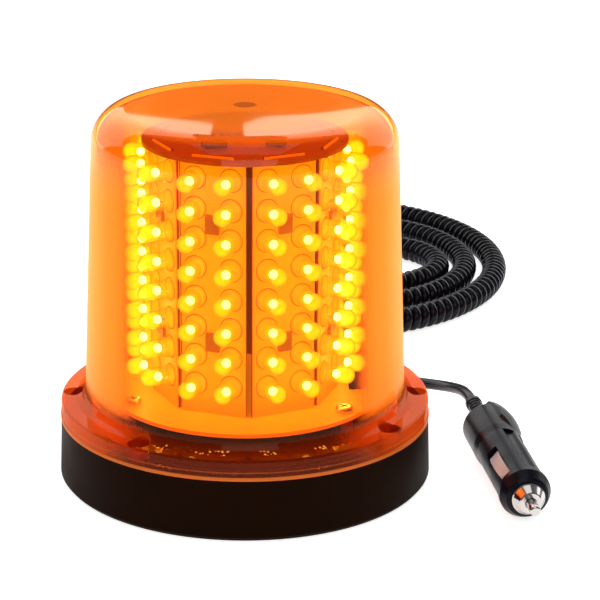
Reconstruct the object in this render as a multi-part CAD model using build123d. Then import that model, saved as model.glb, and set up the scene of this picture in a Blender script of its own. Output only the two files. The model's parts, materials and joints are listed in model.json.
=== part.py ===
from build123d import *

import os
from math import cos, pi, radians, sin, tan

# LED warning beacon with a magnetic base and a curly 12 V lead.
# Millimetres, +Z up. The origin is the centre of the underside; -Y is the front.
# A bearing is an angle about Z in degrees, counted from the front towards -X.

# Base
BASE_RADIUS = 76.0
BASE_TOP_RADIUS = 75.2
BASE_HEIGHT = 25.0
BASE_WALL = 3.0
DECK_BOTTOM = 20.0
DECK_TOP = 23.0
WELL_RADIUS = 45.5
WELL_FLOOR = 17.2
PAD_RADIUS = 72.6
PAD_THICKNESS = 2.2
MAGNET_CUP_RADIUS = 44.0
MAGNET_CUP_TOP = 14.2
GASKET_INNER = 63.6
GASKET_OUTER = 66.0
GASKET_FLOOR = 23.4

# Lens
FLANGE_RADIUS = 75.1
FLANGE_TOP = 33.0
DOME_FOOT_RADIUS = 65.0
DOME_HEAD_RADIUS = 60.4
TOTAL_HEIGHT = 153.4
DOME_CROWN = 0.8
DOME_CORNER = 13.5
LENS_WALL = 2.5
LENS_SCREW_CIRCLE = 70.0
LENS_SCREW_BEARINGS = (36, -54, 126, -144)
COUNTERBORE_FLOOR = 27.6
PEG_BEARINGS = (90, -90)

# Light tower
MAIN_BOARD_RADIUS = 55.7
MAIN_BOARD_TOP = 36.3
BOARD_THICKNESS = 1.6
BOARD_SCREW_CIRCLE = 50.0
BOARD_SCREW_BEARINGS = (64, -52, 186)
TOP_BOARD_RADIUS = 41.0
TOP_BOARD_BOTTOM = 139.0
TOWER_SIDES = 8
TOWER_APOTHEM = 36.0
TOWER_FIRST_BEARING = 20.0
LED_BOARD_WIDTH = 26.5
LED_ROWS = 8
LED_LOWEST_ROW = 48.5
LED_ROW_STEP = 11.98
LED_COLUMN_OFFSET = 7.4
CHIP_ROW_GAPS = (1.5, 5.5)
CABLE_RISER = (-14.0, 50.0)

# Cord
WIRE_RADIUS = 2.4
CURL_RADIUS = 6.25
CURL_HEIGHT = 6.3
GLAND_HEIGHT = 13.0
GLAND_END = 98.0
POINTS_PER_TURN = 16
FIRST_TURN = -0.5625
LAST_TURN = 2.25
# Centre X, centre Y, half width and half depth of each loose turn, outermost first
TURNS = ((30.5, 260.5, 101.5, 107.3), (42.0, 259.0, 74.0, 75.3), (65.0, 255.0, 36.0, 36.3))

# Plug: distances along its axis are counted from the pin's end, towards the cord
PLUG_TIP = (111.7, -69.3, 9.9)
PLUG_TAIL = (97.9, 40.0, 12.8)
PLUG_LENGTH = 110.2
COLLAR_RADIUS = 10.3
BARREL_RADIUS = 9.8
GRIP_PAD_RADIUS = 11.6
CAVITY_RADIUS = 7.4
GRIP_START = 60.0
SHELL_FRONT = 12.5
SHELL_REAR = 88.0
WINDOW_BEARING = -50.0
PAD_BEARING = 46.0
WINDOW_START = 20.8
WINDOW_LENGTH = 24.4
WINDOW_WIDTH = 5.4
STRIP_WIDTH = 4.7
STRIP_PIVOT = (5.95, 0, 48.6)


def turned(outline):
    """A solid of revolution about Z from (radius, height) corners."""
    return revolve(make_face(Plane.XZ * Polyline(*outline, close=True)), Axis.Z)


def disc(radius, bottom, top):
    """A round disc or rod standing on Z between two heights."""
    return Pos(0, 0, bottom) * Cylinder(radius, top - bottom, align=(Align.CENTER, Align.CENTER, Align.MIN))


def block(width, depth, bottom, top):
    """A box centred on Z between two heights."""
    return Pos(0, 0, bottom) * Box(width, depth, top - bottom, align=(Align.CENTER, Align.CENTER, Align.MIN))


def hexagon(across_flats, bottom, top):
    """A hexagonal prism standing on Z between two heights."""
    outline = RegularPolygon(across_flats / 2, 6, major_radius=False)
    return Pos(0, 0, bottom) * extrude(outline, top - bottom)


def at_bearing(angle, radius):
    """The place on a circle about Z at a bearing."""
    return Pos(-radius * sin(radians(angle)), -radius * cos(radians(angle)), 0)


def facing(angle):
    """Turns a piece that faces the front so that it faces a bearing."""
    return Rot(0, 0, -angle)


def pan_head_screw(head_radius, head_bottom, head_height, shank_radius, shank_bottom):
    """A screw on Z with a crowned head and a cross recess."""
    head = disc(head_radius, head_bottom, head_bottom + head_height)
    head = fillet(head.edges().sort_by(Axis.Z)[-1], head_height * 0.55)
    top = head_bottom + head_height
    recess = block(head_radius * 1.1, head_radius * 0.24, top - head_height * 0.55, top)
    head = head - recess - Rot(0, 0, 90) * recess
    return head + disc(shank_radius, shank_bottom, head_bottom)


# Base


def base_housing():
    outline = [
        (BASE_RADIUS - 1.2, 0.3), (BASE_RADIUS, 1.8), (BASE_TOP_RADIUS, BASE_HEIGHT),
        (GASKET_OUTER + 0.1, BASE_HEIGHT), (GASKET_OUTER + 0.1, GASKET_FLOOR),
        (GASKET_INNER - 0.1, GASKET_FLOOR), (GASKET_INNER - 0.1, BASE_HEIGHT),
        (61.0, BASE_HEIGHT), (61.0, DECK_TOP), (WELL_RADIUS, DECK_TOP), (WELL_RADIUS, WELL_FLOOR),
        (3.2, WELL_FLOOR), (3.2, MAGNET_CUP_TOP), (WELL_RADIUS + 2.5, MAGNET_CUP_TOP),
        (WELL_RADIUS + 2.5, DECK_BOTTOM), (BASE_RADIUS - BASE_WALL, DECK_BOTTOM),
        (BASE_RADIUS - BASE_WALL, 0.3),
    ]
    housing = turned(outline)
    for bearing in LENS_SCREW_BEARINGS:
        place = at_bearing(bearing, LENS_SCREW_CIRCLE)
        housing = housing + place * disc(4.6, 9.0, DECK_BOTTOM + 0.5)
        housing = housing - place * disc(2.8, 15.0, BASE_HEIGHT)
    for bearing in PEG_BEARINGS:
        housing = housing + at_bearing(bearing, LENS_SCREW_CIRCLE) * disc(3.8, DECK_TOP, BASE_HEIGHT + 4.0)
    for number in range(12):
        rib = Pos(0, -60, 0) * block(2.0, 28.0, PAD_THICKNESS + 0.6, DECK_BOTTOM + 0.5)
        housing = housing + facing(15 + 30 * number) * rib
    housing = housing - Pos(CABLE_RISER[0], CABLE_RISER[1], 0) * disc(4.0, MAGNET_CUP_TOP, DECK_TOP)
    return housing - Pos(0, 60, GLAND_HEIGHT) * Rot(-90, 0, 0) * disc(4.95, 0, 20)


def rubber_pad():
    pad = disc(PAD_RADIUS, 0, PAD_THICKNESS)
    return chamfer(pad.edges().sort_by(Axis.Z)[0], 0.6)


def magnet_cup():
    return turned([
        (MAGNET_CUP_RADIUS, PAD_THICKNESS), (MAGNET_CUP_RADIUS, MAGNET_CUP_TOP), (3.2, MAGNET_CUP_TOP),
        (3.2, 6.0), (9.0, 6.0), (9.0, MAGNET_CUP_TOP - 3), (MAGNET_CUP_RADIUS - 3, MAGNET_CUP_TOP - 3),
        (MAGNET_CUP_RADIUS - 3, PAD_THICKNESS),
    ])


def ring_magnet():
    return disc(40.6, PAD_THICKNESS, 11.1) - disc(14.0, PAD_THICKNESS, 11.1)


def magnet_bolt():
    return hexagon(10.0, 2.4, 6.0) + disc(3.0, 6.0, 25.0)


def magnet_washer():
    return disc(6.5, WELL_FLOOR, 18.6) - disc(3.05, WELL_FLOOR, 18.6)


def magnet_nut():
    return hexagon(10.0, 18.6, 23.6) - disc(3.05, 18.6, 23.6)


def screw_inserts():
    insert = disc(2.78, 16.0, BASE_HEIGHT - 0.1) - disc(1.95, 16.0, BASE_HEIGHT - 0.1)
    return Compound([at_bearing(bearing, LENS_SCREW_CIRCLE) * insert for bearing in LENS_SCREW_BEARINGS])


def lens_gasket():
    return disc(GASKET_OUTER, GASKET_FLOOR, BASE_HEIGHT) - disc(GASKET_INNER, GASKET_FLOOR, BASE_HEIGHT)


# Lens


def dome_section(inset):
    """Half section of the dome, moved inwards by a wall thickness, down to the flange's underside."""
    foot = DOME_FOOT_RADIUS - inset
    head = DOME_HEAD_RADIUS - inset
    shoulder = TOTAL_HEIGHT - DOME_CROWN - inset
    crown = shoulder + DOME_CROWN
    outline = Polyline((0, BASE_HEIGHT), (foot, BASE_HEIGHT), (foot, 40), (head, shoulder), (0, crown), close=True)
    section = make_face(Plane.XZ * outline)
    corner = section.vertices().sort_by(Axis.X)[-3:].sort_by(Axis.Z)[-1]
    return fillet(corner, DOME_CORNER - inset)


def amber_lens():
    dome = revolve(dome_section(0), Axis.Z)
    flange = turned([
        (0, BASE_HEIGHT), (FLANGE_RADIUS + 0.3, BASE_HEIGHT), (FLANGE_RADIUS + 0.3, BASE_HEIGHT + 1.3),
        (FLANGE_RADIUS, BASE_HEIGHT + 1.6), (FLANGE_RADIUS - 0.2, FLANGE_TOP - 0.7),
        (FLANGE_RADIUS - 0.9, FLANGE_TOP), (DOME_FOOT_RADIUS + 4.0, FLANGE_TOP),
        (DOME_FOOT_RADIUS + 1.6, FLANGE_TOP + 0.9), (DOME_FOOT_RADIUS + 0.4, FLANGE_TOP + 3.0),
        (DOME_FOOT_RADIUS - 0.2, FLANGE_TOP + 6.5), (0, FLANGE_TOP + 6.5),
    ])
    lens = dome + flange - revolve(dome_section(LENS_WALL), Axis.Z)
    for bearing in LENS_SCREW_BEARINGS:
        place = at_bearing(bearing, LENS_SCREW_CIRCLE)
        lens = lens - place * disc(4.15, COUNTERBORE_FLOOR, FLANGE_TOP + 3)
        lens = lens - place * disc(2.2, BASE_HEIGHT, FLANGE_TOP)
    for bearing in PEG_BEARINGS:
        lens = lens - at_bearing(bearing, LENS_SCREW_CIRCLE) * disc(4.15, BASE_HEIGHT, FLANGE_TOP + 3)
    ceiling = TOTAL_HEIGHT - LENS_WALL
    drop = ceiling - 2.8
    boss = turned([(0, ceiling + 0.5), (4.8, ceiling + 0.5), (4.6, ceiling - 0.6), (3.0, drop), (0, drop)])
    return lens + boss


def lens_screws():
    screw = pan_head_screw(3.3, COUNTERBORE_FLOOR, 2.5, 1.9, 17.0)
    return Compound([at_bearing(b, LENS_SCREW_CIRCLE) * facing(b + 25) * screw for b in LENS_SCREW_BEARINGS])


# Light tower


def tower_bearings():
    return [TOWER_FIRST_BEARING + number * 360 / TOWER_SIDES for number in range(TOWER_SIDES)]


def board_middle():
    """Y of the middle of a front-facing upright board."""
    return -TOWER_APOTHEM + BOARD_THICKNESS / 2


def main_board():
    board = disc(MAIN_BOARD_RADIUS, MAIN_BOARD_TOP - BOARD_THICKNESS, MAIN_BOARD_TOP)
    for bearing in BOARD_SCREW_BEARINGS:
        board = board - at_bearing(bearing, BOARD_SCREW_CIRCLE) * disc(1.7, MAIN_BOARD_TOP - 2, MAIN_BOARD_TOP)
    for bearing in tower_bearings():
        for side in (-8, 8):
            slot = Pos(side, board_middle(), 0) * block(5.3, 1.9, MAIN_BOARD_TOP - 2, MAIN_BOARD_TOP)
            board = board - facing(bearing) * slot
    return board


def board_standoffs():
    standoff = hexagon(6.0, DECK_TOP, MAIN_BOARD_TOP - BOARD_THICKNESS) - disc(1.6, 26.0, MAIN_BOARD_TOP)
    return Compound([at_bearing(bearing, BOARD_SCREW_CIRCLE) * standoff for bearing in BOARD_SCREW_BEARINGS])


def board_screws():
    screw = pan_head_screw(3.65, MAIN_BOARD_TOP, 2.3, 1.55, 28.0)
    return Compound([at_bearing(b, BOARD_SCREW_CIRCLE) * facing(b + 10) * screw for b in BOARD_SCREW_BEARINGS])


def led_board(bearing):
    """One upright board, with feet in the main board and a tongue in the top board."""
    board = block(LED_BOARD_WIDTH, BOARD_THICKNESS, MAIN_BOARD_TOP, TOP_BOARD_BOTTOM)
    for side in (-8, 8):
        board = board + Pos(side, 0, 0) * block(5.0, BOARD_THICKNESS, MAIN_BOARD_TOP - 1.6, MAIN_BOARD_TOP)
    board = board + block(17.0, BOARD_THICKNESS, TOP_BOARD_BOTTOM, TOP_BOARD_BOTTOM + 2.4)
    return facing(bearing) * Pos(0, board_middle(), 0) * board


def one_led():
    """A round LED standing on its board, base at the origin, nose along +Z."""
    profile = Polyline((0, 13.1), (0, 0), (4.2, 0), (4.2, 2.0), (3.7, 2.2), (3.6, 9.5))
    profile = profile + RadiusArc((3.6, 9.5), (0, 13.1), -3.6)
    return revolve(make_face(Plane.XZ * profile), Axis.Z)


def leds(bearing):
    """Two columns of LEDs on one upright board."""
    lamp = Rot(90, 0, 0) * one_led()
    lamps = []
    for row in range(LED_ROWS):
        for side in (-LED_COLUMN_OFFSET, LED_COLUMN_OFFSET):
            place = Pos(side, -TOWER_APOTHEM, LED_LOWEST_ROW + row * LED_ROW_STEP)
            lamps.append(facing(bearing) * place * lamp)
    return Compound(lamps)


def driver_chips():
    chips = []
    for bearing in tower_bearings():
        for gap in CHIP_ROW_GAPS:
            middle = LED_LOWEST_ROW + gap * LED_ROW_STEP
            chip = block(5.6, 1.5, middle - 3.8, middle + 3.8)
            chips.append(facing(bearing) * Pos(0, -TOWER_APOTHEM - 0.75, 0) * chip)
    return Compound(chips)


def top_board():
    board = disc(TOP_BOARD_RADIUS, TOP_BOARD_BOTTOM, TOP_BOARD_BOTTOM + BOARD_THICKNESS)
    for bearing in tower_bearings():
        slot = Pos(0, board_middle(), 0) * block(17.4, 1.9, TOP_BOARD_BOTTOM, TOP_BOARD_BOTTOM + BOARD_THICKNESS)
        board = board - facing(bearing) * slot
    return board


def top_board_parts():
    """Chips and resistors soldered on the top board."""
    floor = TOP_BOARD_BOTTOM + BOARD_THICKNESS
    pieces = [Pos(-12, -16, 0) * Rot(0, 0, 20) * block(9.0, 6.0, floor, floor + 1.8)]
    pieces.append(Pos(12, -14, 0) * Rot(0, 0, -25) * block(6.5, 5.0, floor, floor + 1.6))
    for number in range(6):
        pieces.append(Pos(-19 + 3.2 * number, 2, 0) * block(1.6, 3.2, floor, floor + 0.8))
    return Compound(pieces)


def power_connector():
    housing = Pos(46.6, -2.0, 0) * block(8.7, 9.5, MAIN_BOARD_TOP, MAIN_BOARD_TOP + 8.0)
    return housing - Pos(48.0, -2.0, 0) * block(4.0, 6.5, MAIN_BOARD_TOP + 4.5, MAIN_BOARD_TOP + 8.0)


def capacitor():
    can = Pos(46.2, 9.0, 0) * disc(4.2, MAIN_BOARD_TOP, MAIN_BOARD_TOP + 7.0)
    return fillet(can.edges().sort_by(Axis.Z)[-1], 0.8)


# Cord


def bend_radii(route):
    """The largest arc that each corner of a route has room for."""
    radii = []
    for before, corner, after in zip(route, route[1:], route[2:]):
        arriving = Vector(*corner) - Vector(*before)
        leaving = Vector(*after) - Vector(*corner)
        half_turn = radians(arriving.get_angle(leaving)) / 2
        radii.append(0.45 * min(arriving.length, leaving.length) / tan(half_turn))
    return radii


def tube(name, route, radius):
    """A round tube along straight runs that are joined by tangent arcs."""
    radii = bend_radii(route)
    path = FilletPolyline(*route, radius=radii)
    start = Plane(origin=path @ 0, z_dir=path % 0)
    solid = sweep(start * Circle(radius), path=path)
    ratio = solid.volume / (pi * radius**2 * path.length)
    print(f"{name}: length {path.length:.1f}, volume ratio {ratio:.4f}, radii", [round(r, 1) for r in radii])
    return solid


def blend(low, high, position):
    """A smooth step from 0 to 1 as position goes from low to high."""
    share = min(max((position - low) / (high - low), 0), 1)
    return share * share * (3 - 2 * share)


def turn_point(turn):
    """A place on the loose spiral; whole turns are at its right-hand side."""
    number = min(max(int(turn + 1) - 1, 0), len(TURNS) - 2)
    share = blend(0.2, 0.65, turn - number)
    centre_x, centre_y, half_width, half_depth = [
        (1 - share) * first + share * second for first, second in zip(TURNS[number], TURNS[number + 1])
    ]
    angle = 2 * pi * turn
    return (centre_x + half_width * cos(angle), centre_y - half_depth * sin(angle), CURL_HEIGHT)


def base_lead_route():
    return [
        (0, GLAND_END, GLAND_HEIGHT), (0, 111, GLAND_HEIGHT), (-5, 124, 9.5), (-18.9, 135.5, CURL_HEIGHT),
        (-35, 147, CURL_HEIGHT),
    ]


def curly_route():
    count = round((LAST_TURN - FIRST_TURN) * POINTS_PER_TURN)
    spiral = [turn_point(FIRST_TURN + step / POINTS_PER_TURN) for step in range(count + 1)]
    return [base_lead_route()[-1], (-49, 157, CURL_HEIGHT), (-60, 174, CURL_HEIGHT)] + spiral


def plug_lead_route():
    return [
        curly_route()[-1], (51.9, 216.1, CURL_HEIGHT), (38, 208, 10.5), (28.5, 195, 16.5), (25, 177, 19.0),
        (25, 158, 19.0), (27.5, 140, 16.0), (32, 125, 8.5), (40.5, 112.5, 3.2), (53, 104.5, 2.5),
        (66, 98, 2.5), (77.5, 90, 3.0), (86.5, 79, 5.8), (92.7, 65.5, 9.6), (96.5, 51.1, 13.1), PLUG_TAIL,
    ]


def cord_base_lead():
    return tube("cord_base_lead", base_lead_route(), WIRE_RADIUS)


def cord_curly():
    return tube("cord_curly", curly_route(), CURL_RADIUS)


def cord_plug_lead():
    return tube("cord_plug_lead", plug_lead_route(), WIRE_RADIUS)


def cable_gland():
    """Rubber strain relief through the wall, clamped between two collars."""
    body = turned([
        (0, 69.6), (6.5, 69.6), (6.5, 72.2), (4.9, 72.2), (4.9, 76.1), (7.6, 76.1), (7.4, 78.4),
        (5.6, 78.8), (4.4, 90.0), (3.7, GLAND_END), (0, GLAND_END),
    ])
    for number in range(4):
        height = 81.5 + 3.6 * number
        body = body - (disc(8, height, height + 1.4) - disc(4.0, height, height + 1.4))
    return Pos(0, 0, GLAND_HEIGHT) * Rot(-90, 0, 0) * body


def internal_lead():
    riser_x, riser_y = CABLE_RISER
    route = [
        (0, 69.6, GLAND_HEIGHT), (0, 62, GLAND_HEIGHT), (-6.5, 53.5, GLAND_HEIGHT),
        (riser_x, riser_y, 17.0), (riser_x, riser_y, MAIN_BOARD_TOP - BOARD_THICKNESS),
    ]
    return tube("internal_lead", route, 2.1)


# Plug, built with its pin's end at the origin, +Z towards the cord and +X up, then laid in place


def plug_place():
    tip = Vector(*PLUG_TIP)
    along = (Vector(*PLUG_TAIL) - tip).normalized()
    sideways = along.cross(Vector(0, 0, 1)).normalized()
    return Location(Plane(origin=tip, x_dir=sideways.cross(along), z_dir=along))


def at_side(bearing):
    """Turns a plug piece that faces up by a bearing to the right."""
    return Rot(0, 0, bearing)


def thumb_pad():
    """A crowned pad for the thumb, pointed towards the nose, standing proud of the grip."""
    ends = [(9.8, GRIP_START), (GRIP_PAD_RADIUS, GRIP_START + 14), (9.8, SHELL_REAR)]
    section = ThreePointArc(*ends) + Polyline(ends[2], (0, SHELL_REAR), (0, GRIP_START), ends[0])
    bulge = revolve(make_face(Plane.XZ * section), Axis.Z)
    front = GRIP_START + 0.6
    rear = SHELL_REAR - 1.0
    half = [(2.4, front), (6.0, front + 10), (6.4, rear)]
    outline = Polyline(*half, *[(-across, along) for across, along in reversed(half)], close=True)
    return bulge & extrude(make_face(Plane.YZ * outline), 13)


def plug_shell():
    """The whole moulded body, before it is split into two halves."""
    shell = turned([
        (0, SHELL_FRONT), (7.3, SHELL_FRONT), (8.4, SHELL_FRONT + 0.8), (COLLAR_RADIUS, SHELL_FRONT + 4.6),
        (COLLAR_RADIUS, SHELL_FRONT + 7.0), (BARREL_RADIUS, SHELL_FRONT + 8.2), (BARREL_RADIUS, GRIP_START - 2),
        (10.2, GRIP_START + 3), (10.2, SHELL_REAR - 4.5), (9.0, SHELL_REAR - 1.6), (6.4, SHELL_REAR),
        (0, SHELL_REAR),
    ])
    shell = shell + at_side(PAD_BEARING) * thumb_pad()
    for bearing in (PAD_BEARING - 30, PAD_BEARING + 12, PAD_BEARING + 150, PAD_BEARING + 192):
        flute = Pos(BARREL_RADIUS + 2.2, 0, 0) * disc(3.6, SHELL_FRONT + 10, GRIP_START - 1.5)
        shell = shell - at_side(bearing) * flute
    shell = shell - disc(5.6, 0, 30) - disc(CAVITY_RADIUS, 19.0, GRIP_START) - disc(3.0, 50, SHELL_REAR)
    window = Pos(0, 0, WINDOW_START) * Box(
        24, WINDOW_WIDTH, WINDOW_LENGTH, align=(Align.CENTER, Align.CENTER, Align.MIN)
    )
    return shell - at_side(WINDOW_BEARING) * window


def plug_screw_place():
    """Axis of the screw that clamps the halves, beside the cord bore."""
    return at_side(WINDOW_BEARING + 180) * Pos(0, -6.4, 76.0) * Rot(0, 90, 0)


def plug_shell_half(half_turn):
    side = Box(40, 60, 200, align=(Align.MIN, Align.CENTER, Align.CENTER))
    half = plug_shell() & at_side(WINDOW_BEARING + half_turn) * side
    half = half - plug_screw_place() * disc(1.5, -4.5, 20)
    return half - plug_screw_place() * disc(2.9, 5.6, 20)


def plug_screw():
    return plug_screw_place() * (disc(1.45, -4.4, 5.6) + disc(2.7, 5.6, 7.2))


def side_contact(half_turn):
    """A bowed spring strip in one window, which swings inwards about its rolled rear end."""
    bow = [(6.7, 48.5), (7.0, 45.6), (8.9, 42.0), (10.3, 34.0), (10.1, 28.0), (8.4, 22.6), (7.6, 21.4)]
    outer = Spline(*bow)
    inner = Spline(*[(radius - 0.7, along) for radius, along in bow])
    ends = Line(outer @ 0, inner @ 0) + Line(outer @ 1, inner @ 1)
    strip = extrude(make_face(Plane.XZ * (outer + inner + ends)), STRIP_WIDTH / 2, both=True)
    rolled_end = Pos(*STRIP_PIVOT) * Rot(90, 0, 0) * Cylinder(0.9, STRIP_WIDTH)
    return at_side(WINDOW_BEARING + half_turn) * (strip + rolled_end)


def nose_ring():
    """Screw-off ring: knurled cone outside, threaded spigot inside the collar."""
    ring = turned([
        (2.4, 7.4), (4.1, 7.4), (4.5, 7.8), (6.2, 11.2), (6.6, 11.6), (6.6, 12.4), (5.3, 12.4), (5.3, 18.0),
        (4.4, 18.0), (4.4, 8.8), (2.4, 8.8),
    ])
    groove = Pos(5.62, 0, 9.5) * Rot(0, 27, 0) * Box(0.55, 0.45, 3.6)
    for number in range(24):
        ring = ring - Rot(0, 0, 15 * number) * groove
    return ring


def tip_insulator():
    return disc(4.2, 8.95, 9.75) - disc(2.4, 8.95, 9.75)


def centre_pin():
    pin = disc(2.15, 0, 9.9) + disc(3.4, 9.9, 11.4) + disc(2.8, 11.4, 14.0)
    return fillet(pin.edges().sort_by(Axis.Z)[0], 0.9)


def fuse():
    return disc(3.1, 14.0, 45.0)


def tip_spring():
    """Coil spring behind the fuse."""
    coil = Helix(2.2, 11.0, 2.5, center=(0, 0, 45.4))
    start = Plane(origin=coil @ 0, z_dir=coil % 0)
    return sweep(start * Circle(0.35), path=coil, is_frenet=True)


def rear_terminal():
    return disc(4.0, 56.8, 58.0) + disc(1.2, 58.0, 70.0)


def plug_boot():
    """Rubber strain relief behind the plug, with flex grooves and an end collar."""
    boot = turned([
        (0, SHELL_REAR - 8), (2.9, SHELL_REAR - 8), (2.9, SHELL_REAR), (4.6, SHELL_REAR), (4.3, 93.0),
        (3.1, 106.2), (3.5, 106.8), (3.5, 109.2), (3.2, PLUG_LENGTH), (0, PLUG_LENGTH),
    ])
    for number in range(5):
        along = 91.0 + 3.0 * number
        boot = boot - (disc(6, along, along + 1.2) - disc(3.0, along, along + 1.2))
    return boot


BODY_PARTS = {
    "base_housing": base_housing,
    "rubber_pad": rubber_pad,
    "magnet_cup": magnet_cup,
    "ring_magnet": ring_magnet,
    "magnet_bolt": magnet_bolt,
    "magnet_washer": magnet_washer,
    "magnet_nut": magnet_nut,
    "screw_inserts": screw_inserts,
    "lens_gasket": lens_gasket,
    "amber_lens": amber_lens,
    "lens_screws": lens_screws,
    "main_board": main_board,
    "board_standoffs": board_standoffs,
    "board_screws": board_screws,
    "driver_chips": driver_chips,
    "top_board": top_board,
    "top_board_parts": top_board_parts,
    "power_connector": power_connector,
    "capacitor": capacitor,
    "cable_gland": cable_gland,
    "internal_lead": internal_lead,
    "cord_base_lead": cord_base_lead,
    "cord_curly": cord_curly,
    "cord_plug_lead": cord_plug_lead,
}

PLUG_PARTS = {
    "plug_shell_left": lambda: plug_shell_half(0),
    "plug_shell_right": lambda: plug_shell_half(180),
    "plug_screw": plug_screw,
    "side_contact_left": lambda: side_contact(0),
    "side_contact_right": lambda: side_contact(180),
    "nose_ring": nose_ring,
    "tip_insulator": tip_insulator,
    "centre_pin": centre_pin,
    "fuse": fuse,
    "tip_spring": tip_spring,
    "rear_terminal": rear_terminal,
    "plug_boot": plug_boot,
}


def main():
    os.makedirs("parts", exist_ok=True)
    for name, make in BODY_PARTS.items():
        export_step(make(), f"parts/{name}.step")
    for number, bearing in enumerate(tower_bearings(), start=1):
        export_step(led_board(bearing), f"parts/led_board_{number}.step")
        export_step(leds(bearing), f"parts/leds_{number}.step")
    for name, make in PLUG_PARTS.items():
        export_step(plug_place() * make(), f"parts/{name}.step")


main()
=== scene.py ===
import json
import math

import bmesh
import bpy
from mathutils import Matrix, Vector


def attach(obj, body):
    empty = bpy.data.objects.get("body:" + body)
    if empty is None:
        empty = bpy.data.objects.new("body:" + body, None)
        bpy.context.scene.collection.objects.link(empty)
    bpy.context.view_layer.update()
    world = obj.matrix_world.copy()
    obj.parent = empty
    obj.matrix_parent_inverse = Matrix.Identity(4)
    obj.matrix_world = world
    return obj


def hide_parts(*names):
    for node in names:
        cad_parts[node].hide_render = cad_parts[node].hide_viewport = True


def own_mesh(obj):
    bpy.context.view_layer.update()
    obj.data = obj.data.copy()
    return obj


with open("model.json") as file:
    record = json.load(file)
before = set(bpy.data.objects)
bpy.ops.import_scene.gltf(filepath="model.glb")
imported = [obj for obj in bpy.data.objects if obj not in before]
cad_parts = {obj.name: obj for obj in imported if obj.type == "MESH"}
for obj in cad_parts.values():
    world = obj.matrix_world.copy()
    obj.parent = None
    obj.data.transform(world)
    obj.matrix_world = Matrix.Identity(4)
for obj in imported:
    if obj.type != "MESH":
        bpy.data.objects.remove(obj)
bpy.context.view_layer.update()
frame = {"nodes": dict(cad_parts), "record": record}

MM = 0.001

# Camera, in metres and degrees
EYE = (0.0, -0.855, 0.359)
LOOK_DOWN = 18.53
LENS = 133.8
SENSOR_WIDTH = 36
SHIFT_X = 0.0917

# Cord, in metres: the route's points are the frame's
WIRE_RADIUS = 0.0024
CURL_RADIUS = 0.00625
CURL_HEIGHT = 0.0063
CURL_PITCH = 0.0050
CURL_SWELL = 0.009
ROUTE_CORNER_LOSS = 0.963
POINTS_PER_CURL = 10
POINTS_PER_TURN = 16
FIRST_TURN = -0.5625
LAST_TURN = 2.25
TURNS = (
    (0.0305, 0.2605, 0.1015, 0.1073),
    (0.0420, 0.2590, 0.0740, 0.0753),
    (0.0650, 0.2550, 0.0360, 0.0363),
)
GLAND_END = (0.0, 0.098, 0.013)
PLUG_TAIL = Vector((0.0979, 0.0400, 0.0128))

# Tower
SIDES = 8
FIRST_BEARING = 20.0
APOTHEM = 0.036
ROWS = 8
ROW_STEP = 0.01198
LOWEST_ROW = 0.0485
COLUMN_OFFSET = 0.0074
LED_PRINT_RADII = (0.00440, 0.00475)
LED_PRINT_HEIGHT = 0.00004
LED_PRINT_SEGMENTS = 28
LED_CORE_SEGMENTS = 12
LED_CORE_PROFILE = (
    (0, 0.0042), (0.0012, 0.0044), (0.0017, 0.0052), (0.0017, 0.0060), (0.0011, 0.0068), (0, 0.0070),
)

# Screw and peg holes in the lens flange
HOLE_CIRCLE = 0.070
HOLE_BEARINGS = (36, -54, 126, -144, 90, -90)
HOLE_EDGE = (0.0043, 0.0051)

# Heights in metres between which the lens changes from one zone to the next
FLANGE_TO_WALL = (0.0325, 0.0385)
WALL_START = (0.034, 0.044)
WALL_END = (0.126, 0.146)
SHOULDER_START = (0.139, 0.149)
FLAT_TOP_START = (0.1500, 0.1520)
SHINE_START = (0.120, 0.142)

# Colours of the lens: the tint of each surface, and what its milky parts scatter; some of them are
# painted light and shade, as noted where they stand
LENS_TINT = (1.0, 0.68, 0.20)
SLANT_POWER = 1.4
# Painted shade: a darker tint for the shoulder where it is seen at a steep slant
PAINTED_RIM_SHADE_TINT = (0.55, 0.20, 0.05)
FLANGE_TINT = (1.0, 0.34, 0.03)
# Milky colour of the side wall by slant; its paler stops are a painted reflection of the bright
# surroundings
WALL_HAZE_AND_PAINTED_REFLECTION = (
    (0.30, (1.0, 0.21, 0.003)), (0.55, (1.0, 0.27, 0.02)),
    (0.78, (1.0, 0.37, 0.07)), (0.95, (1.0, 0.45, 0.14)),
)
# Painted light: the flange's scatter colour, which with its glow keeps the flange bright above the
# black base
FLANGE_PAINTED_LIGHT = (1.0, 0.14, 0.015)
FLAT_TOP_HAZE = (0.97, 0.245, 0.0)
BOSS_HAZE = (0.38, 0.09, 0.001)
# Painted shade: a dark scatter colour for the same steeply slanted shoulder
PAINTED_RIM_SHADE_COLOUR = (0.24, 0.045, 0.004)
LIP_HAZE = (1.0, 0.30, 0.05)
# Painted shade: a dark colour for the walls of the screw and peg holes
HOLE_PAINTED_SHADE = (0.16, 0.008, 0.0)
# Painted glints: colour of the bright specks in the flange
PAINTED_GLINT_COLOUR = (1.0, 0.55, 0.08)
GLOSS_TINT = (1.0, 0.80, 0.58, 1)

# Area lights: name, place, target, width, height, power in watts, roll in degrees
AREA_LIGHTS = (
    ("back_left", (-0.70, 0.95, 0.61), (0, 0, 0.14), 1.4, 0.92, 9, -30),
    ("back_right", (0.67, 0.95, 0.61), (0, 0, 0.14), 1.4, 0.92, 9, 30),
    ("front", (0.1, -1.5, 1.3), (0, 0, 0.05), 1.2, 0.8, 6, 0),
    ("overhead", (0.0, -0.1, 1.8), (0, 0, 0.0), 1.2, 1.2, 5, 0),
)


# Camera


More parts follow.
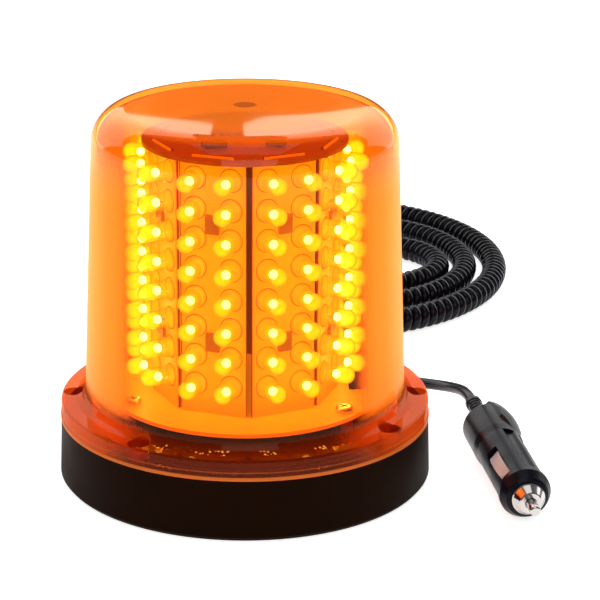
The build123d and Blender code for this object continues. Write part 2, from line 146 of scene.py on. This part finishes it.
def add_camera():
    data = bpy.data.cameras.new("camera")
    data.lens = LENS
    data.sensor_width = SENSOR_WIDTH
    data.shift_x = SHIFT_X
    data.clip_start = 0.01
    camera = bpy.data.objects.new("camera", data)
    camera.location = EYE
    camera.rotation_euler = (math.radians(90 - LOOK_DOWN), 0, 0)
    bpy.context.scene.collection.objects.link(camera)
    bpy.context.scene.camera = camera


add_camera()


# Helpers


def bearings():
    return [FIRST_BEARING + number * 360 / SIDES for number in range(SIDES)]


def link(obj):
    bpy.context.scene.collection.objects.link(obj)
    return obj


def mesh_piece(name, bm, smooth=True):
    """A mesh object made from a bmesh, shaded smooth below 35 degrees."""
    data = bpy.data.meshes.new(name)
    bmesh.ops.recalc_face_normals(bm, faces=bm.faces)
    bm.to_mesh(data)
    bm.free()
    for polygon in data.polygons:
        polygon.use_smooth = smooth
    if smooth:
        data.set_sharp_from_angle(angle=math.radians(35))
    return link(bpy.data.objects.new(name, data))


def ride(piece, body, material):
    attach(piece, body)
    piece.data.materials.clear()
    piece.data.materials.append(material)
    return piece


# Cord


def blend(low, high, position):
    share = min(max((position - low) / (high - low), 0), 1)
    return share * share * (3 - 2 * share)


def turn_point(turn):
    """A place on the loose spiral; whole turns are at its right-hand side."""
    number = min(max(int(turn + 1) - 1, 0), len(TURNS) - 2)
    share = blend(0.2, 0.65, turn - number)
    centre_x, centre_y, half_width, half_depth = [
        (1 - share) * first + share * second
        for first, second in zip(TURNS[number], TURNS[number + 1])
    ]
    angle = 2 * math.pi * turn
    across = centre_x + half_width * math.cos(angle)
    return (across, centre_y - half_depth * math.sin(angle), CURL_HEIGHT)


def base_lead_route():
    return [GLAND_END, (0, 0.111, 0.013), (-0.005, 0.124, 0.0095), (-0.0189, 0.1355, CURL_HEIGHT)]


def curly_route():
    count = round((LAST_TURN - FIRST_TURN) * POINTS_PER_TURN)
    spiral = [turn_point(FIRST_TURN + step / POINTS_PER_TURN) for step in range(count + 1)]
    lead_in = [(-0.035, 0.147, CURL_HEIGHT), (-0.049, 0.157, CURL_HEIGHT), (-0.060, 0.174, CURL_HEIGHT)]
    return lead_in + spiral


def plug_lead_route():
    return [
        (0.0519, 0.2161, CURL_HEIGHT), (0.038, 0.208, 0.0105), (0.0285, 0.195, 0.0165),
        (0.025, 0.177, 0.019), (0.025, 0.158, 0.019), (0.0275, 0.140, 0.016), (0.032, 0.125, 0.0085),
        (0.0405, 0.1125, 0.0032), (0.053, 0.1045, 0.0025), (0.066, 0.098, 0.0025),
        (0.0775, 0.090, 0.0030), (0.0865, 0.079, 0.0058),
        (0.0927, 0.0655, 0.0096), (0.0965, 0.0511, 0.0131), tuple(PLUG_TAIL),
    ]


def nurbs_curve(name, points, resolution):
    data = bpy.data.curves.new(name, "CURVE")
    data.dimensions = "3D"
    spline = data.splines.new("NURBS")
    spline.points.add(len(points) - 1)
    for place, point in zip(spline.points, points):
        place.co = (*point, 1)
        place.radius = WIRE_RADIUS
    spline.order_u = 3
    spline.use_endpoint_u = True
    spline.resolution_u = resolution
    return link(bpy.data.objects.new(name, data))


def line_of(curve):
    """The points of a curve that has no bevel, in order."""
    bpy.context.view_layer.update()
    mesh = bpy.data.meshes.new_from_object(curve)
    points = [vertex.co.copy() for vertex in mesh.vertices]
    bpy.data.meshes.remove(mesh)
    return points


def distances_along(points):
    total = [0.0]
    for first, second in zip(points, points[1:]):
        total.append(total[-1] + (second - first).length)
    return total


def nearest_distance(points, totals, place):
    """Distance along a line of its point nearest to a place."""
    index = min(range(len(points)), key=lambda number: (points[number] - Vector(place)).length)
    return totals[index]


def cord_points():
    """Control points of the wire: straight leads, and a helix about the route where it is curly."""
    route = base_lead_route() + curly_route() + plug_lead_route()
    guide = nurbs_curve("guide", route, 12)
    line = line_of(guide)
    bpy.data.objects.remove(guide)
    totals = distances_along(line)
    curly = curly_route()
    start = nearest_distance(line, totals, curly[0])
    end = nearest_distance(line, totals, curly[-1])
    helix_radius = (CURL_RADIUS - WIRE_RADIUS) / ROUTE_CORNER_LOSS
    points = []
    along = start
    phase = 0.0
    index = 0
    step = CURL_PITCH / POINTS_PER_CURL
    while along <= end:
        while totals[index + 1] < along:
            index += 1
        share = (along - totals[index]) / (totals[index + 1] - totals[index])
        centre = line[index].lerp(line[index + 1], share)
        tangent = (line[index + 1] - line[index]).normalized()
        side = tangent.cross(Vector((0, 0, 1))).normalized()
        rise = side.cross(tangent)
        swelling = blend(start, start + CURL_SWELL, along)
        reach = helix_radius * swelling * (1 - blend(end - CURL_SWELL, end, along))
        points.append(centre + reach * (math.cos(phase) * side + math.sin(phase) * rise))
        phase += 2 * math.pi / POINTS_PER_CURL
        along += step
    first_lead = [Vector(place) for place in base_lead_route()]
    last_lead = [Vector(place) for place in plug_lead_route()]
    return first_lead + points + last_lead


def curve_length(curve):
    line = line_of(curve)
    return distances_along(line)[-1]


def add_cord():
    wire = nurbs_curve("cord", cord_points(), 3)
    length = curve_length(wire)
    wire.data.bevel_depth = 1.0  # times each point's radius
    wire.data.bevel_resolution = 4
    wire.data.use_fill_caps = True
    return wire, length


cord, cord_length = add_cord()


# Materials


def new_material(name):
    material = bpy.data.materials.new(name)
    material.use_nodes = True
    material.node_tree.nodes.clear()
    return material, material.node_tree


def node(tree, kind, values=None, **settings):
    made = tree.nodes.new(kind)
    for key, value in settings.items():
        setattr(made, key, value)
    for socket, value in (values or {}).items():
        made.inputs[socket].default_value = value
    return made


def wire_up(tree, *pairs):
    for source, target in pairs:
        tree.links.new(source, target)


def principled(name, colour, roughness, metallic=0.0, specular=0.5, vary=0.15, grain=None,
               grain_depth=0.02, roughness_vary=0.08, mottling=60.0, glow=0.0):
    """A surface with mottled colour and roughness and, where grain is given, a fine bump; glow is an
    emission in its own colour, painted light.
    """
    material, tree = new_material(name)
    output = node(tree, "ShaderNodeOutputMaterial")
    shader = node(tree, "ShaderNodeBsdfPrincipled", {
        "Metallic": metallic, "Specular IOR Level": specular,
        "Emission Color": (*colour, 1), "Emission Strength": glow,
    })
    place = node(tree, "ShaderNodeTexCoord")
    cloud = node(tree, "ShaderNodeTexNoise", {"Scale": mottling, "Detail": 5.0})
    dark = tuple(max(channel * (1 - vary), 0.0) for channel in colour)
    light = tuple(min(channel * (1 + vary), 1.0) for channel in colour)
    ramp = node(tree, "ShaderNodeValToRGB")
    ramp.color_ramp.elements[0].position = 0.3
    ramp.color_ramp.elements[1].position = 0.7
    ramp.color_ramp.elements[0].color = (*dark, 1)
    ramp.color_ramp.elements[1].color = (*light, 1)
    rough = node(tree, "ShaderNodeMapRange", {
        "From Min": 0.3, "From Max": 0.7,
        "To Min": max(roughness - roughness_vary, 0.02), "To Max": roughness + roughness_vary,
    })
    wire_up(
        tree,
        (place.outputs["Object"], cloud.inputs["Vector"]),
        (cloud.outputs["Fac"], ramp.inputs["Fac"]),
        (ramp.outputs["Color"], shader.inputs["Base Color"]),
        (cloud.outputs["Fac"], rough.inputs["Value"]),
        (rough.outputs["Result"], shader.inputs["Roughness"]),
        (shader.outputs["BSDF"], output.inputs["Surface"]),
    )
    if grain:
        texture = node(tree, "ShaderNodeTexNoise", {"Scale": grain, "Detail": 3.0})
        bump = node(tree, "ShaderNodeBump", {"Strength": 0.5, "Distance": grain_depth * MM})
        wire_up(
            tree,
            (place.outputs["Object"], texture.inputs["Vector"]),
            (texture.outputs["Fac"], bump.inputs["Height"]),
            (bump.outputs["Normal"], shader.inputs["Normal"]),
        )
    return material


def smooth_range(tree, source, low, high, start, end):
    """A value that goes from start to end as another goes from low to high."""
    ends = {"From Min": low, "From Max": high, "To Min": start, "To Max": end}
    ramp = node(tree, "ShaderNodeMapRange", ends)
    ramp.interpolation_type = "SMOOTHSTEP"
    tree.links.new(source, ramp.inputs["Value"])
    return ramp.outputs["Result"]


def maths(tree, operation, first, second):
    """A Math node of two sockets or numbers."""
    made = node(tree, "ShaderNodeMath", operation=operation)
    for number, value in enumerate((first, second)):
        if isinstance(value, (int, float)):
            made.inputs[number].default_value = value
        else:
            tree.links.new(value, made.inputs[number])
    return made.outputs[0]


def mixed_colour(tree, factor, first, second):
    """A mix of two colours, each a tuple or a socket."""
    made = node(tree, "ShaderNodeMix", data_type="RGBA")
    tree.links.new(factor, made.inputs["Factor"])
    for socket, value in ((made.inputs[6], first), (made.inputs[7], second)):
        if isinstance(value, tuple):
            socket.default_value = (*value, 1)
        else:
            tree.links.new(value, socket)
    return made.outputs[2]


def mixed_shader(tree, factor, first, second):
    made = node(tree, "ShaderNodeMixShader")
    if isinstance(factor, (int, float)):
        made.inputs["Fac"].default_value = factor
    else:
        tree.links.new(factor, made.inputs["Fac"])
    wire_up(tree, (first, made.inputs[1]), (second, made.inputs[2]))
    return made.outputs["Shader"]


def outer_fresnel(tree, ior):
    """Share of light that a surface reflects on its outer side; the inner side reflects none."""
    fresnel = node(tree, "ShaderNodeFresnel", {"IOR": ior})
    backfacing = node(tree, "ShaderNodeNewGeometry").outputs["Backfacing"]
    outer_side = maths(tree, "SUBTRACT", 1.0, backfacing)
    return maths(tree, "MULTIPLY", fresnel.outputs["Fac"], outer_side)


def radius_and_height(tree, place):
    """Distance from the dome's axis, height, and the share of that distance that is sideways."""
    split = node(tree, "ShaderNodeSeparateXYZ")
    tree.links.new(place, split.inputs["Vector"])
    across, depth = split.outputs["X"], split.outputs["Y"]
    squares = [maths(tree, "MULTIPLY", value, value) for value in (across, depth)]
    radius = maths(tree, "SQRT", maths(tree, "ADD", *squares), 0)
    sideways = maths(tree, "DIVIDE", maths(tree, "ABSOLUTE", across, 0), radius)
    return radius, split.outputs["Z"], sideways


def screw_holes(tree, place):
    """1 on and near the walls of the flange's screw and peg holes, 0 elsewhere."""
    nearest = None
    for bearing in HOLE_BEARINGS:
        angle = math.radians(bearing)
        axis = (-HOLE_CIRCLE * math.sin(angle), -HOLE_CIRCLE * math.cos(angle), 0)
        flat = node(tree, "ShaderNodeVectorMath", {1: (1, 1, 0)}, operation="MULTIPLY")
        gap = node(tree, "ShaderNodeVectorMath", {1: axis}, operation="DISTANCE")
        wire_up(tree, (place, flat.inputs[0]), (flat.outputs["Vector"], gap.inputs[0]))
        distance = gap.outputs["Value"]
        nearest = distance if nearest is None else maths(tree, "MINIMUM", nearest, distance)
    return smooth_range(tree, nearest, *HOLE_EDGE, 1.0, 0.0)


def within(tree, value, start, end, low=0.0, high=1.0):
    """high where a value lies between two gradual limits, low outside them."""
    return maths(tree, "MULTIPLY", smooth_range(tree, value, *start, low, high),
                 smooth_range(tree, value, *end, 1.0, 0.0))


def flange_lip(tree, radius, height):
    """The flange's bottom edge and a fainter line above it."""
    line = within(tree, height, (0.0278, 0.0281), (0.0284, 0.0287), 0.0, 0.5)
    either = maths(tree, "MAXIMUM", smooth_range(tree, height, 0.0262, 0.0268, 1.0, 0.0), line)
    return maths(tree, "MULTIPLY", smooth_range(tree, radius, 0.0744, 0.0748, 0.0, 1.0), either)


def flange_glints(tree, place, radius, flange, sideways):
    """Painted glints: clusters of small bright specks in a ring inside the flange, at its front and
    back.
    """
    spots = node(tree, "ShaderNodeTexVoronoi", {"Scale": 620.0})
    clusters = node(tree, "ShaderNodeTexNoise", {"Scale": 95.0, "Detail": 1.0})
    wire_up(tree, (place, spots.inputs["Vector"]), (place, clusters.inputs["Vector"]))
    ring = within(tree, radius, (0.0662, 0.0672), (0.0692, 0.0704))
    specks = maths(
        tree, "MULTIPLY", smooth_range(tree, spots.outputs["Distance"], 0.18, 0.45, 1.0, 0.0),
        smooth_range(tree, clusters.outputs["Fac"], 0.46, 0.58, 0.0, 1.0),
    )
    front = maths(tree, "MULTIPLY", flange, smooth_range(tree, sideways, 0.45, 0.7, 1.0, 0.0))
    return maths(tree, "MULTIPLY", maths(tree, "MULTIPLY", ring, specks), front)


def wall_haze_and_reflection_colour(tree, facing):
    """Milky colour of the side wall, paler towards its edges, where the paling is a painted reflection
    of the bright surroundings.
    """
    ramp = node(tree, "ShaderNodeValToRGB")
    stops = ramp.color_ramp.elements
    for number, (position, colour) in enumerate(WALL_HAZE_AND_PAINTED_REFLECTION):
        stop = stops[number] if number < 2 else stops.new(position)  # a new ramp has two stops
        stop.position = position
        stop.color = (*colour, 1)
    tree.links.new(facing, ramp.inputs["Fac"])
    return ramp.outputs["Color"]


def scattering(tree, colour):
    """Milky plastic: scatters light forwards and back, and glows a little with the LEDs' light."""
    front = node(tree, "ShaderNodeBsdfDiffuse")
    back = node(tree, "ShaderNodeBsdfTranslucent")
    # Painted light: this emission stands in for the LEDs' light scattered in the plastic
    glow = node(tree, "ShaderNodeEmission", {"Strength": 0.45})
    for shader in (front, back, glow):
        tree.links.new(colour, shader.inputs["Color"])
    scattered = mixed_shader(tree, 0.5, front.outputs["BSDF"], back.outputs["BSDF"])
    lit = node(tree, "ShaderNodeAddShader")
    wire_up(tree, (scattered, lit.inputs[0]), (glow.outputs["Emission"], lit.inputs[1]))
    return lit.outputs["Shader"]


def amber_gloss(tree, place):
    """Polished outer surface with a faint waviness."""
    cloud = node(tree, "ShaderNodeTexNoise", {"Scale": 25.0, "Detail": 2.0})
    bump = node(tree, "ShaderNodeBump", {"Strength": 0.05, "Distance": 0.0003})
    gloss = node(tree, "ShaderNodeBsdfGlossy", {"Roughness": 0.03, "Color": GLOSS_TINT})
    wire_up(
        tree,
        (place, cloud.inputs["Vector"]),
        (cloud.outputs["Fac"], bump.inputs["Height"]),
        (bump.outputs["Normal"], gloss.inputs["Normal"]),
    )
    return gloss.outputs["BSDF"]


def amber_material():
    """Clear amber plastic: tinted, milky at the edges of its side wall, deep red in the flange; painted
    light and shade give paler wall edges, a bright flange with glints, a darker slanted rim and darker
    screw holes.
    """
    material, tree = new_material("amber_lens")
    output = node(tree, "ShaderNodeOutputMaterial")
    place = node(tree, "ShaderNodeTexCoord").outputs["Object"]
    radius, height, sideways = radius_and_height(tree, place)
    facing = node(tree, "ShaderNodeLayerWeight", {"Blend": 0.5}).outputs["Facing"]

    # Zones of the lens
    flange = smooth_range(tree, height, *FLANGE_TO_WALL, 1.0, 0.0)
    side_wall = within(tree, height, WALL_START, WALL_END)
    shoulder = smooth_range(tree, height, *SHOULDER_START, 0.0, 1.0)
    # Painted shade: where the shoulder is seen at a steep slant, it gets a darker tint and a dark haze
    shaded_rim = maths(tree, "MULTIPLY", shoulder, smooth_range(tree, facing, 0.79, 0.88, 0.0, 1.0))
    flat_top = maths(tree, "MULTIPLY", smooth_range(tree, height, *FLAT_TOP_START, 0.0, 1.0),
                     smooth_range(tree, radius, 0.034, 0.045, 1.0, 0.45))
    boss = maths(tree, "MULTIPLY", flat_top, smooth_range(tree, radius, 0.0038, 0.0052, 1.0, 0.0))
    lip = flange_lip(tree, radius, height)
    # Painted shade: darker haze on and near the walls of the screw and peg holes
    holes = maths(tree, "MULTIPLY", flange, screw_holes(tree, place))
    glints = flange_glints(tree, place, radius, flange, sideways)

    slant = smooth_range(tree, facing, 0.3, 0.8, 0.0, 1.0)
    tint = mixed_colour(tree, slant, LENS_TINT, tuple(channel ** SLANT_POWER for channel in LENS_TINT))
    tint = mixed_colour(tree, shaded_rim, tint, PAINTED_RIM_SHADE_TINT)
    tint = mixed_colour(tree, flange, tint, FLANGE_TINT)
    clear = node(tree, "ShaderNodeBsdfTransparent")
    tree.links.new(tint, clear.inputs["Color"])

    haze_colour = mixed_colour(tree, flange, wall_haze_and_reflection_colour(tree, facing), FLANGE_PAINTED_LIGHT)
    for zone, colour in (
        (flat_top, FLAT_TOP_HAZE), (boss, BOSS_HAZE), (shaded_rim, PAINTED_RIM_SHADE_COLOUR),
        (lip, LIP_HAZE), (holes, HOLE_PAINTED_SHADE), (glints, PAINTED_GLINT_COLOUR),
    ):
        haze_colour = mixed_colour(tree, zone, haze_colour, colour)

    wall_haze = maths(tree, "MULTIPLY", side_wall, smooth_range(tree, facing, 0.32, 0.47, 0.0, 0.82))
    # Painted light: scatter and glow in the flange, stronger towards its left and right sides
    flange_painted_light = maths(tree, "MULTIPLY", flange, smooth_range(tree, sideways, 0.5, 0.9, 0.05, 0.48))
    amount = maths(tree, "MAXIMUM", wall_haze, flange_painted_light)
    for zone, strength in ((lip, 0.45), (glints, 1.0), (flat_top, 0.80), (shaded_rim, 0.8), (holes, 0.75)):
        amount = maths(tree, "MAXIMUM", amount, maths(tree, "MULTIPLY", zone, strength))
    body = mixed_shader(tree, amount, clear.outputs["BSDF"], scattering(tree, haze_colour))

    shine = maths(tree, "MULTIPLY", outer_fresnel(tree, 1.45),
                  smooth_range(tree, height, *SHINE_START, 0.30, 0.80))
    tree.links.new(mixed_shader(tree, shine, body, amber_gloss(tree, place)), output.inputs["Surface"])
    return material


def height_over_board(tree, place):
    """Distance outwards from the nearest upright board's face."""
    furthest = None
    for bearing in bearings()[:SIDES // 2]:  # the others face the opposite way
        outwards = (-math.sin(math.radians(bearing)), -math.cos(math.radians(bearing)), 0)
        along = node(tree, "ShaderNodeVectorMath", {1: outwards}, operation="DOT_PRODUCT")
        tree.links.new(place, along.inputs[0])
        distance = maths(tree, "ABSOLUTE", along.outputs["Value"], 0)
        furthest = distance if furthest is None else maths(tree, "MAXIMUM", furthest, distance)
    return maths(tree, "SUBTRACT", furthest, APOTHEM)


def led_body_material():
    """Clear yellow epoxy: see-through along its barrel, glowing in its round head."""
    material, tree = new_material("led_amber")
    output = node(tree, "ShaderNodeOutputMaterial")
    place = node(tree, "ShaderNodeTexCoord").outputs["Object"]
    height = height_over_board(tree, place)
    cloud = node(tree, "ShaderNodeTexNoise", {"Scale": 500.0, "Detail": 2.0})
    tree.links.new(place, cloud.inputs["Vector"])
    ramp = node(tree, "ShaderNodeValToRGB")
    ramp.color_ramp.elements[0].position = 0.35
    ramp.color_ramp.elements[1].position = 0.65
    ramp.color_ramp.elements[0].color = (1.0, 0.80, 0.03, 1)
    ramp.color_ramp.elements[1].color = (1.0, 1.0, 0.09, 1)
    tree.links.new(cloud.outputs["Fac"], ramp.inputs["Fac"])
    glow = node(tree, "ShaderNodeEmission")
    facing = node(tree, "ShaderNodeLayerWeight", {"Blend": 0.5}).outputs["Facing"]
    strength = smooth_range(tree, facing, 0.05, 0.75, 2.9, 1.3)
    wire_up(tree, (ramp.outputs["Color"], glow.inputs["Color"]), (strength, glow.inputs["Strength"]))
    clear = node(tree, "ShaderNodeBsdfTransparent", {"Color": (1.0, 0.90, 0.45, 1)})
    head = smooth_range(tree, height, 0.0052, 0.0072, 0.12, 0.52)
    body = mixed_shader(tree, head, clear.outputs["BSDF"], glow.outputs["Emission"])
    gloss = node(tree, "ShaderNodeBsdfGlossy", {"Roughness": 0.08})
    surface = mixed_shader(tree, outer_fresnel(tree, 1.5), body, gloss.outputs["BSDF"])
    tree.links.new(surface, output.inputs["Surface"])
    return material


def led_core_material():
    """The light in each LED: bluish, and so near white through the amber plastic."""
    material, tree = new_material("led_core")
    output = node(tree, "ShaderNodeOutputMaterial")
    place = node(tree, "ShaderNodeTexCoord")
    cloud = node(tree, "ShaderNodeTexNoise", {"Scale": 900.0, "Detail": 1.0})
    ramp = node(tree, "ShaderNodeValToRGB")
    ramp.color_ramp.elements[0].color = (0.36, 0.38, 0.92, 1)
    ramp.color_ramp.elements[1].color = (0.40, 0.43, 1.0, 1)
    glow = node(tree, "ShaderNodeEmission", {"Strength": 55.0})
    wire_up(
        tree,
        (place.outputs["Object"], cloud.inputs["Vector"]),
        (cloud.outputs["Fac"], ramp.inputs["Fac"]),
        (ramp.outputs["Color"], glow.inputs["Color"]),
        (glow.outputs["Emission"], output.inputs["Surface"]),
    )
    return material


MATERIALS = {
    "base_plastic": principled(
        "base_plastic", (0.011, 0.0032, 0.0005), 0.50, specular=0.022, grain=1800.0,
    ),
    "pad_rubber": principled(
        "pad_rubber", (0.018, 0.018, 0.018), 0.75, grain=900.0, grain_depth=0.05,
    ),
    "plated_steel": principled("plated_steel", (0.55, 0.56, 0.58), 0.32, metallic=1.0, grain=500.0),
    "ferrite": principled("ferrite", (0.07, 0.07, 0.075), 0.6, grain=900.0),
    "brass": principled("brass", (0.72, 0.50, 0.20), 0.3, metallic=1.0),
    "seal_rubber": principled("seal_rubber", (0.02, 0.02, 0.02), 0.7),
    "amber_lens": amber_material(),
    "screw_steel": principled("screw_steel", (0.72, 0.70, 0.66), 0.28, metallic=1.0, grain=1500.0),
    # Painted light: its glow stands in for the LEDs' light on the board
    "circuit_board": principled(
        "circuit_board", (0.95, 0.56, 0.06), 0.42, vary=0.05, grain=1200.0, glow=0.35,
    ),
    "chip_black": principled("chip_black", (0.03, 0.022, 0.015), 0.5, grain=1500.0),
    "cord_rubber": principled(
        "cord_rubber", (0.004, 0.004, 0.008), 0.20, specular=0.14, grain=1500.0, grain_depth=0.008,
    ),
    "plug_plastic": principled(
        "plug_plastic", (0.006, 0.006, 0.012), 0.30, specular=0.09, grain=2500.0, grain_depth=0.01,
    ),
    "contact_chrome": principled(
        "contact_chrome", (0.58, 0.57, 0.55), 0.16, metallic=1.0, vary=0.04, roughness_vary=0.04,
    ),
    "insulator": principled("insulator", (0.80, 0.78, 0.72), 0.5),
    "fuse_glass": principled("fuse_glass", (0.75, 0.80, 0.80), 0.12),
    "led_amber": led_body_material(),
}
LED_CORE = led_core_material()


def led_board_material():
    """Lacquered board, lit on its outer side by its LEDs and dark inside the tower."""
    material = principled(
        "led_board", (0.92, 0.36, 0.02), 0.42, specular=0.25, vary=0.05, grain=1200.0,
    )
    tree = material.node_tree
    shader = next(found for found in tree.nodes if found.type == "BSDF_PRINCIPLED")
    place = node(tree, "ShaderNodeTexCoord").outputs["Object"]
    outer = smooth_range(tree, height_over_board(tree, place), -0.0009, -0.0004, 0.0, 1.0)
    lacquer = shader.inputs["Base Color"].links[0].from_socket
    # Painted shade: the inner side, inside the tower, gets a dark colour in place of the lacquer
    colour = mixed_colour(tree, outer, (0.30, 0.085, 0.004), lacquer)
    # Painted light: emission on the outer side for its LEDs' light, and a faint one all over
    strength = maths(tree, "ADD", maths(tree, "MULTIPLY", outer, 0.45), 0.08)
    shader.inputs["Emission Color"].default_value = (1.0, 0.40, 0.005, 1)
    wire_up(
        tree,
        (colour, shader.inputs["Base Color"]),
        (strength, shader.inputs["Emission Strength"]),
    )
    return material


LED_BOARD = led_board_material()
# Painted light: its glow stands in for the LEDs' light on the main board
MAIN_BOARD = principled(
    "main_board", (0.90, 0.44, 0.015), 0.40, specular=0.3, vary=0.05, grain=1200.0, glow=0.45,
)
# Painted light: its glow stands in for the LEDs' light on the top board
TOP_BOARD = principled(
    "top_board", (0.42, 0.15, 0.02), 0.35, specular=0.3, vary=0.15, grain=1200.0, mottling=180.0,
    glow=0.12,
)
TOP_PARTS = principled("top_board_parts", (0.30, 0.10, 0.015), 0.5, grain=1500.0)
# Painted light: its glow stands in for the LEDs' light on the chips
DRIVER_CHIPS = principled("driver_chips", (0.34, 0.13, 0.012), 0.5, grain=1500.0, glow=0.12)
BOARD_PRINT = principled("board_print", (0.14, 0.045, 0.004), 0.6)
CONTACT_STRIP = principled(
    "contact_strip", (0.50, 0.56, 0.62), 0.38, metallic=0.1, specular=0.6, vary=0.12,
)


# Finishes of single nodes, in place of their slot's
SPECIAL = {
    "main_board": MAIN_BOARD, "top_board": TOP_BOARD, "top_board_parts": TOP_PARTS,
    "driver_chips": DRIVER_CHIPS,
    "side_contact_left": CONTACT_STRIP, "side_contact_right": CONTACT_STRIP,
}


def dress_nodes():
    """Gives every CAD node the finish of its slot."""
    slots = {part["node"]: part["material_slot"] for part in frame["record"]["subparts"]}
    for name, slot in slots.items():
        obj = frame["nodes"][name]
        obj.data.materials.clear()
        special = LED_BOARD if name.startswith("led_board") else SPECIAL.get(name)
        obj.data.materials.append(special or MATERIALS[slot])


dress_nodes()


# Cord and plug


def finish_cord():
    ride(cord, "beacon", MATERIALS["cord_rubber"])
    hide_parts("cord_base_lead", "cord_curly", "cord_plug_lead")


def squash_tip_spring():
    """Gives the spring behind the fuse a mesh of its own."""
    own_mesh(frame["nodes"]["tip_spring"])


finish_cord()
squash_tip_spring()


# Tower details


def panel_matrix(bearing):
    """Frame of an upright board: X along it, Y outwards from its face, Z up."""
    turn = Matrix.Rotation(math.radians(-bearing), 4, "Z")
    return turn @ Matrix.Translation((0, -APOTHEM, 0)) @ Matrix.Rotation(math.pi, 4, "Z")


def led_places():
    """Frames of all LEDs: origin on the board, +Z along the LED."""
    places = []
    for bearing in bearings():
        for row in range(ROWS):
            for side in (-COLUMN_OFFSET, COLUMN_OFFSET):
                spot = Matrix.Translation((side, 0, LOWEST_ROW + row * ROW_STEP))
                lying = Matrix.Rotation(math.radians(-90), 4, "X")
                places.append(panel_matrix(bearing) @ spot @ lying)
    return places


def circle(radius, height, segments):
    """Points of a level circle about Z."""
    angles = [2 * math.pi * number / segments for number in range(segments)]
    return [Vector((radius * math.cos(angle), radius * math.sin(angle), height)) for angle in angles]


def add_turned(bm, profile, matrix, segments):
    """Adds a closed body of revolution about Z.

    Its profile is a list of (radius, height) points, the first and last on the axis.
    """
    rings = []
    for radius, height in profile:
        if radius == 0:
            rings.append([bm.verts.new(matrix @ Vector((0, 0, height)))])
            continue
        rings.append([bm.verts.new(matrix @ point) for point in circle(radius, height, segments)])
    for lower, upper in zip(rings, rings[1:]):
        for number in range(segments):
            after = (number + 1) % segments
            corners = [ring[index % len(ring)] for ring, index in (
                (lower, number), (lower, after), (upper, after), (upper, number),
            )]
            bm.faces.new(list(dict.fromkeys(corners)))  # a point on the axis makes triangles


def add_led_cores():
    """A lit cup inside each LED."""
    bm = bmesh.new()
    for place in led_places():
        add_turned(bm, LED_CORE_PROFILE, place, LED_CORE_SEGMENTS)
    return ride(mesh_piece("led_cores", bm), "beacon", LED_CORE)


def add_board_print():
    """A thin printed circle round the foot of each LED."""
    bm = bmesh.new()
    inner, outer = LED_PRINT_RADII
    section = ((inner, LED_PRINT_HEIGHT), (outer, LED_PRINT_HEIGHT), (outer, 0.0), (inner, 0.0))
    for place in led_places():
        rings = []
        for radius, height in section:
            points = circle(radius, height, LED_PRINT_SEGMENTS)
            rings.append([bm.verts.new(place @ point) for point in points])
        for first, second in zip(rings, rings[1:] + rings[:1]):
            for number in range(LED_PRINT_SEGMENTS):
                after = (number + 1) % LED_PRINT_SEGMENTS
                bm.faces.new((first[number], first[after], second[after], second[number]))
    return ride(mesh_piece("board_print", bm), "beacon", BOARD_PRINT)


add_led_cores()
add_board_print()


# Studio


def add_floor():
    bm = bmesh.new()
    bmesh.ops.create_grid(bm, x_segments=1, y_segments=1, size=6.0)
    floor = mesh_piece("floor", bm, smooth=False)
    material, tree = new_material("floor")
    output = node(tree, "ShaderNodeOutputMaterial")
    shader = node(tree, "ShaderNodeBsdfPrincipled", {
        "Base Color": (0.93, 0.93, 0.93, 1), "Roughness": 0.9, "Specular IOR Level": 0.0,
        "Emission Color": (1, 1, 1, 1), "Emission Strength": 0.80,
    })
    wire_up(tree, (shader.outputs["BSDF"], output.inputs["Surface"]))
    floor.data.materials.append(material)


def add_area(name, place, target, width, height, power, roll):
    data = bpy.data.lights.new(name, "AREA")
    data.shape = "RECTANGLE"
    data.size = width
    data.size_y = height
    data.energy = power
    light = bpy.data.objects.new(name, data)
    light.location = place
    aim = (Vector(target) - Vector(place)).to_track_quat("-Z", "Y")
    light.rotation_euler = (aim.to_matrix() @ Matrix.Rotation(math.radians(roll), 3, "Z")).to_euler()
    link(light)


def add_world():
    world = bpy.data.worlds.new("studio")
    world.use_nodes = True
    background = world.node_tree.nodes["Background"]
    background.inputs["Color"].default_value = (1, 1, 1, 1)
    background.inputs["Strength"].default_value = 0.12
    bpy.context.scene.world = world


add_floor()
add_world()
for area_light in AREA_LIGHTS:
    add_area(*area_light)
bpy.context.scene.view_settings.view_transform = "Standard"
